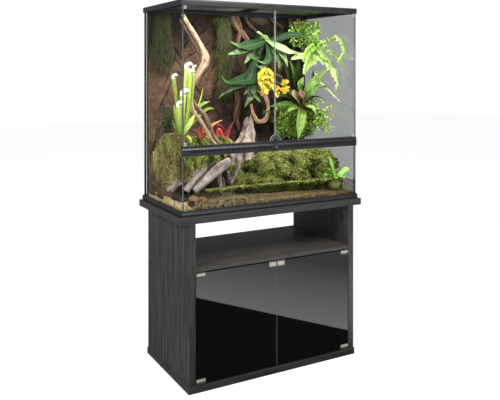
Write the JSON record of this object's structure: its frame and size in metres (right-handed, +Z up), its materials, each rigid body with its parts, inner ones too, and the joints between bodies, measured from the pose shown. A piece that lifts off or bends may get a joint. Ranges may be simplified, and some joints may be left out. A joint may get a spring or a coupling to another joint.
{
  "type": "terrarium cabinet",
  "caption": "Planted glass terrarium with hinged front doors and a screen top, standing on a wood-grain cabinet with an open bay and black glass doors.",
  "frame": {"origin": "middle of the cabinet's footprint, on the floor", "axes": "+X to the viewer's right, +Y to the back, +Z up"},
  "size_m": [0.936, 0.486, 1.641],
  "materials": {
    "wood_grain_board": "black-brown wood-grain melamine, satin",
    "hardboard": "black painted hardboard",
    "beech_dowel": "plain beech",
    "zinc_cam": "zinc, dull",
    "black_plastic": "moulded, satin",
    "black_glass": "opaque black glass, polished",
    "nickel": "satin nickel",
    "steel_screw": "zinc plated",
    "white_plastic": "moulded, satin",
    "clear_glass": "float glass, polished",
    "black_silicone": "satin silicone",
    "steel_mesh": "fine woven steel mesh",
    "clear_plastic": "clear plastic",
    "rock_foam": "moulded foam painted as red-brown rock",
    "gravel": "washed tan gravel",
    "driftwood": "dry tan driftwood",
    "dark_root": "dark weathered root",
    "stump_bark": "grey-brown bark",
    "moss": "living moss",
    "dry_moss": "hanging olive moss",
    "pitcher_leaf": "yellow-green leaf with white hoods",
    "dark_leaf": "glossy dark green leaf",
    "orchid_bloom": "yellow petals",
    "strap_leaf": "glossy green leaf",
    "fern_leaf": "light green fern",
    "small_leaf": "small green leaves",
    "red_leaf": "red and orange leaf"
  },
  "bodies": {
    "root": {"plinth": "wood_grain_board", "side_panel_left": "wood_grain_board", "side_panel_right": "wood_grain_board", "shelf": "wood_grain_board", "top_board": "wood_grain_board", "back_panel": "hardboard", "board_dowels": "beech_dowel", "cam_locks": "zinc_cam", "pivot_bushes": "black_plastic", "touch_latches": "black_plastic", "base_frame": "black_plastic", "glass_bottom": "clear_glass", "glass_left": "clear_glass", "glass_right": "clear_glass", "glass_back": "clear_glass", "glass_front": "clear_glass", "silicone_seams": "black_silicone", "vent_strip": "black_plastic", "vent_mesh": "steel_mesh", "top_frame": "black_plastic", "rock_background": "rock_foam", "gravel_bed": "gravel", "driftwood_branch": "driftwood", "tangled_roots": "dark_root", "stump": "stump_bark", "moss_hills": "moss", "moss_curtains": "dry_moss", "pitcher_plants": "pitcher_leaf", "staghorn_fern": "dark_leaf", "yellow_orchid": "orchid_bloom", "bromeliads": "strap_leaf", "lace_ferns": "fern_leaf", "creeping_fig": "small_leaf", "red_bromeliad": "red_leaf", "floating_rosette": "fern_leaf"},
    "left_cabinet_door": {"cabinet_door_left": "black_glass", "corner_clips_left": "nickel", "clip_screws_left": "steel_screw", "strike_clip_left": "nickel"},
    "right_cabinet_door": {"cabinet_door_right": "black_glass", "corner_clips_right": "nickel", "clip_screws_right": "steel_screw", "strike_clip_right": "nickel"},
    "left_plunger": {"latch_plunger_left": "white_plastic"},
    "right_plunger": {"latch_plunger_right": "white_plastic"},
    "left_tank_door": {"tank_door_left": "clear_glass", "pivot_shoes_left": "clear_plastic", "edge_seal_left": "clear_plastic", "door_handle_left": "black_plastic"},
    "right_tank_door": {"tank_door_right": "clear_glass", "pivot_shoes_right": "clear_plastic", "edge_seal_right": "clear_plastic", "door_handle_right": "black_plastic"},
    "lock": {"lock_knob": "black_plastic"},
    "screen_cover": {"screen_frame": "black_plastic", "screen_mesh": "steel_mesh"},
    "left_screen_latch": {"screen_latch_left": "black_plastic"},
    "right_screen_latch": {"screen_latch_right": "black_plastic"},
    "left_cable_gate": {"cable_gate_left": "black_plastic"},
    "right_cable_gate": {"cable_gate_right": "black_plastic"}
  },
  "joints": [
    {"name": "cabinet_door_left_hinge", "type": "hinge", "parent": "root", "child": "left_cabinet_door", "pos_m": [-0.382, -0.2365, 0.2665], "axis": [0, 0, -1], "range_deg": [0, 100]},
    {"name": "cabinet_door_right_hinge", "type": "hinge", "parent": "root", "child": "right_cabinet_door", "pos_m": [0.382, -0.2365, 0.2665], "axis": [0, 0, 1], "range_deg": [0, 100]},
    {"name": "latch_plunger_left_push", "type": "slide", "parent": "root", "child": "left_plunger", "axis": [0, 1, 0], "range_m": [0, 0.003], "stiffness_N_per_m": 300, "springref_m": -0.002},
    {"name": "latch_plunger_right_push", "type": "slide", "parent": "root", "child": "right_plunger", "axis": [0, 1, 0], "range_m": [0, 0.003], "stiffness_N_per_m": 300, "springref_m": -0.002},
    {"name": "tank_door_left_hinge", "type": "hinge", "parent": "root", "child": "left_tank_door", "pos_m": [-0.438, -0.222, 1.3215], "axis": [0, 0, -1], "range_deg": [0, 100]},
    {"name": "tank_door_right_hinge", "type": "hinge", "parent": "root", "child": "right_tank_door", "pos_m": [0.438, -0.222, 1.3215], "axis": [0, 0, 1], "range_deg": [0, 100]},
    {"name": "lock_turn", "type": "hinge", "parent": "root", "child": "lock", "pos_m": [0, -0.2303, 1.01], "axis": [0, -1, 0], "range_deg": [0, 180]},
    {"name": "screen_cover_lift", "type": "slide", "parent": "root", "child": "screen_cover", "axis": [0, 0, 1], "range_m": [0, 0.15]},
    {"name": "screen_latch_left_turn", "type": "hinge", "parent": "root", "child": "left_screen_latch", "pos_m": [-0.437, -0.01, 1.638], "axis": [0, 0, -1], "range_deg": [0, 90]},
    {"name": "screen_latch_right_turn", "type": "hinge", "parent": "root", "child": "right_screen_latch", "pos_m": [0.437, -0.01, 1.638], "axis": [0, 0, 1], "range_deg": [0, 90]},
    {"name": "cable_gate_left_slide", "type": "slide", "parent": "root", "child": "left_cable_gate", "axis": [-1, 0, 0], "range_m": [0, 0.038]},
    {"name": "cable_gate_right_slide", "type": "slide", "parent": "root", "child": "right_cable_gate", "axis": [1, 0, 0], "range_m": [0, 0.038]}
  ]
}
